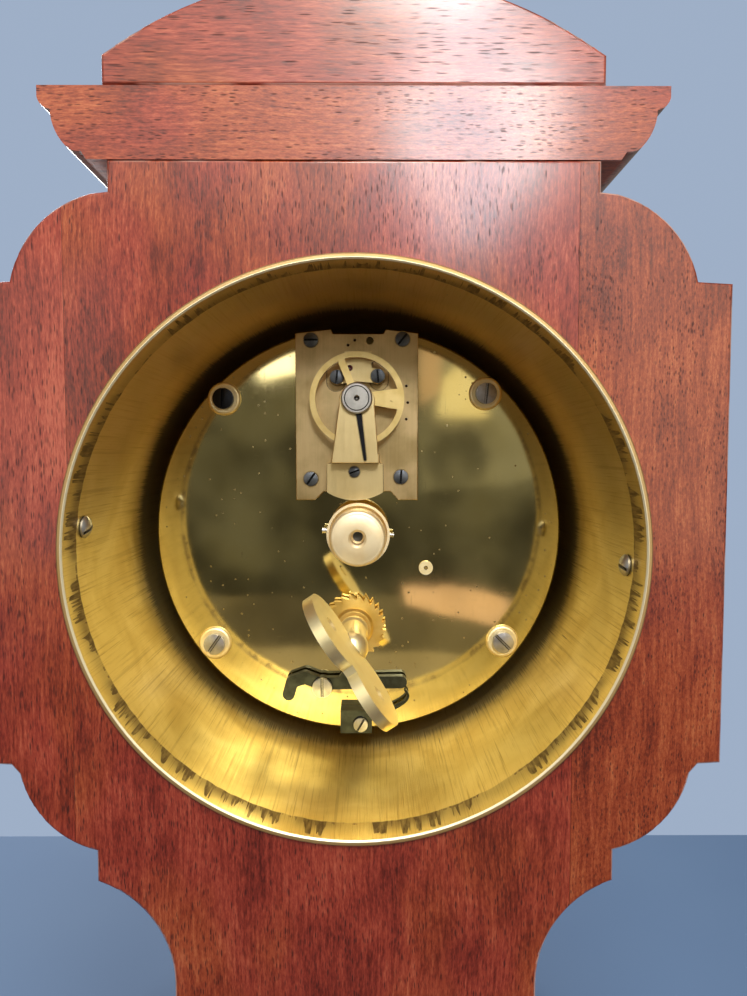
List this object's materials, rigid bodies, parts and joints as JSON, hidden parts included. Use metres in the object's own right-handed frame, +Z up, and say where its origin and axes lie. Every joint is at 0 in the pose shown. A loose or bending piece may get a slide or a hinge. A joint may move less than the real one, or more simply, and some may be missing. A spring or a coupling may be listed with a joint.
{
  "type": "mantel clock",
  "caption": "Waisted mahogany mantel clock on bun feet, arched top, its round movement in an open-backed brass drum with winding key, hand-setting knob and platform escapement.",
  "frame": {"origin": "bottom centre of the four feet", "axes": "+Z up; -Y out of the dial, so +Y points out of the open back; +X to the right of the dial"},
  "size_m": [0.128, 0.094, 0.2548],
  "materials": {
    "mahogany": "french-polished mahogany",
    "boxwood": "inlaid boxwood",
    "brass_polished": "mirror-polished brass",
    "brass_brushed": "aged brushed brass",
    "brass_gilt": "pale gilt brass",
    "steel_bright": "bright steel",
    "steel_blued": "blued steel",
    "steel_black": "blackened steel",
    "enamel": "white enamel",
    "glass": "clear domed glass",
    "ruby": "synthetic ruby"
  },
  "bodies": {
    "case": {"back_board": "mahogany", "back_cheek_left": "mahogany", "back_cheek_right": "mahogany", "back_plate": "brass_polished", "balance_cock": "brass_gilt", "base_moulding": "mahogany", "bezel": "brass_polished", "carcase_side_left": "mahogany", "carcase_side_right": "mahogany", "carcase_top_block": "mahogany", "carcase_waist_block": "mahogany", "click_screws": "steel_bright", "click_spring": "steel_black", "cock_screws": "steel_blued", "cornice": "mahogany", "dial": "enamel", "dial_glass": "glass", "drum_liner": "brass_brushed", "drum_screws": "steel_bright", "endpiece_cap": "steel_bright", "escape_cock": "brass_gilt", "feet": "brass_polished", "front_board": "mahogany", "front_plate": "brass_polished", "jewels": "ruby", "movement_ring": "brass_brushed", "pediment": "mahogany", "pillar_screws": "steel_bright", "pillar_washers": "brass_polished", "pillars": "brass_brushed", "platform_plate": "brass_gilt", "platform_screws": "steel_blued", "plinth": "mahogany", "posts_and_brackets": "brass_brushed", "spring_block": "steel_black", "stringing_inlay": "boxwood", "train_bush": "brass_brushed"},
    "barrel_body": {"barrel": "brass_brushed", "barrel_cover": "brass_brushed", "mainspring": "steel_blued"},
    "winding_body": {"barrel_arbor": "steel_bright", "ratchet_wheel": "brass_polished", "winding_key": "brass_gilt"},
    "click_body": {"click": "steel_black"},
    "intermediate_body": {"intermediate_wheel": "brass_brushed"},
    "centre_body": {"centre_wheel": "brass_brushed"},
    "third_body": {"third_wheel": "brass_brushed"},
    "fourth_body": {"fourth_wheel": "brass_brushed"},
    "escape_body": {"escape_wheel": "steel_bright"},
    "balance_body": {"balance_wheel": "brass_gilt", "balance_staff": "steel_bright", "hairspring": "steel_blued"},
    "regulator_body": {"regulator": "steel_blued"},
    "setting_body": {"setting_arbor": "steel_bright", "set_knob": "brass_gilt", "knob_pin": "steel_bright", "minute_hand": "steel_blued"},
    "minute_wheel_body": {"minute_wheel": "brass_brushed"},
    "hour_body": {"hour_wheel": "brass_brushed", "hour_hand": "steel_blued"}
  },
  "joints": [
    {"name": "third_wheel_spin", "type": "hinge", "parent": "case", "child": "third_body", "pos_m": [-0.00462, 0, 0.17669], "axis": [0, 1, 0], "continuous": true},
    {"name": "barrel_spin", "type": "hinge", "parent": "case", "child": "barrel_body", "pos_m": [0.001, 0, 0.1437], "axis": [0, 1, 0], "continuous": true},
    {"name": "intermediate_spin", "type": "hinge", "parent": "case", "child": "intermediate_body", "pos_m": [-0.0144, 0, 0.156], "axis": [0, 1, 0], "continuous": true},
    {"name": "centre_spin", "type": "hinge", "parent": "case", "child": "centre_body", "pos_m": [0, 0, 0.164], "axis": [0, 1, 0], "continuous": true},
    {"name": "fourth_wheel_spin", "type": "hinge", "parent": "case", "child": "fourth_body", "pos_m": [-0.00333, 0, 0.18852], "axis": [0, 1, 0], "continuous": true},
    {"name": "escape_spin", "type": "hinge", "parent": "case", "child": "escape_body", "pos_m": [0.0017, 0, 0.1978], "axis": [0, 1, 0], "continuous": true},
    {"name": "hand_setting", "type": "hinge", "parent": "case", "child": "setting_body", "pos_m": [0, 0, 0.164], "axis": [0, 1, 0], "continuous": true},
    {"name": "minute_wheel_spin", "type": "hinge", "parent": "case", "child": "minute_wheel_body", "pos_m": [-0.00902, 0, 0.16072], "axis": [0, 1, 0], "continuous": true},
    {"name": "hour_hand_spin", "type": "hinge", "parent": "case", "child": "hour_body", "pos_m": [0, 0, 0.164], "axis": [0, 1, 0], "continuous": true},
    {"name": "winding", "type": "hinge", "parent": "case", "child": "winding_body", "pos_m": [0.001, 0, 0.1437], "axis": [0, 1, 0], "continuous": true, "deforming": ["mainspring"]},
    {"name": "click_swing", "type": "hinge", "parent": "case", "child": "click_body", "pos_m": [0.0078, 0, 0.1307], "axis": [0, 1, 0], "range_deg": [-7, 0], "stiffness_Nm_per_rad": 0.002, "springref_deg": 2.86, "deforming": ["click_spring"]},
    {"name": "balance_swing", "type": "hinge", "parent": "case", "child": "balance_body", "pos_m": [0.0002, 0, 0.1914], "axis": [0, 1, 0], "range_deg": [-135, 135], "stiffness_Nm_per_rad": 0.000017, "deforming": ["hairspring"]},
    {"name": "regulator_swing", "type": "hinge", "parent": "case", "child": "regulator_body", "pos_m": [0.0002, 0, 0.1914], "axis": [0, 1, 0], "range_deg": [-18, 18]}
  ],
  "couplings": [
    {"joint": "barrel_spin", "follows": "third_wheel_spin", "ratio": -0.0032468},
    {"joint": "intermediate_spin", "follows": "third_wheel_spin", "ratio": 0.022727},
    {"joint": "centre_spin", "follows": "third_wheel_spin", "ratio": -0.125},
    {"joint": "fourth_wheel_spin", "follows": "third_wheel_spin", "ratio": -7.5},
    {"joint": "escape_spin", "follows": "third_wheel_spin", "ratio": 75},
    {"joint": "minute_wheel_spin", "follows": "hand_setting", "ratio": -0.33333},
    {"joint": "hour_hand_spin", "follows": "hand_setting", "ratio": 0.083333}
  ]
}
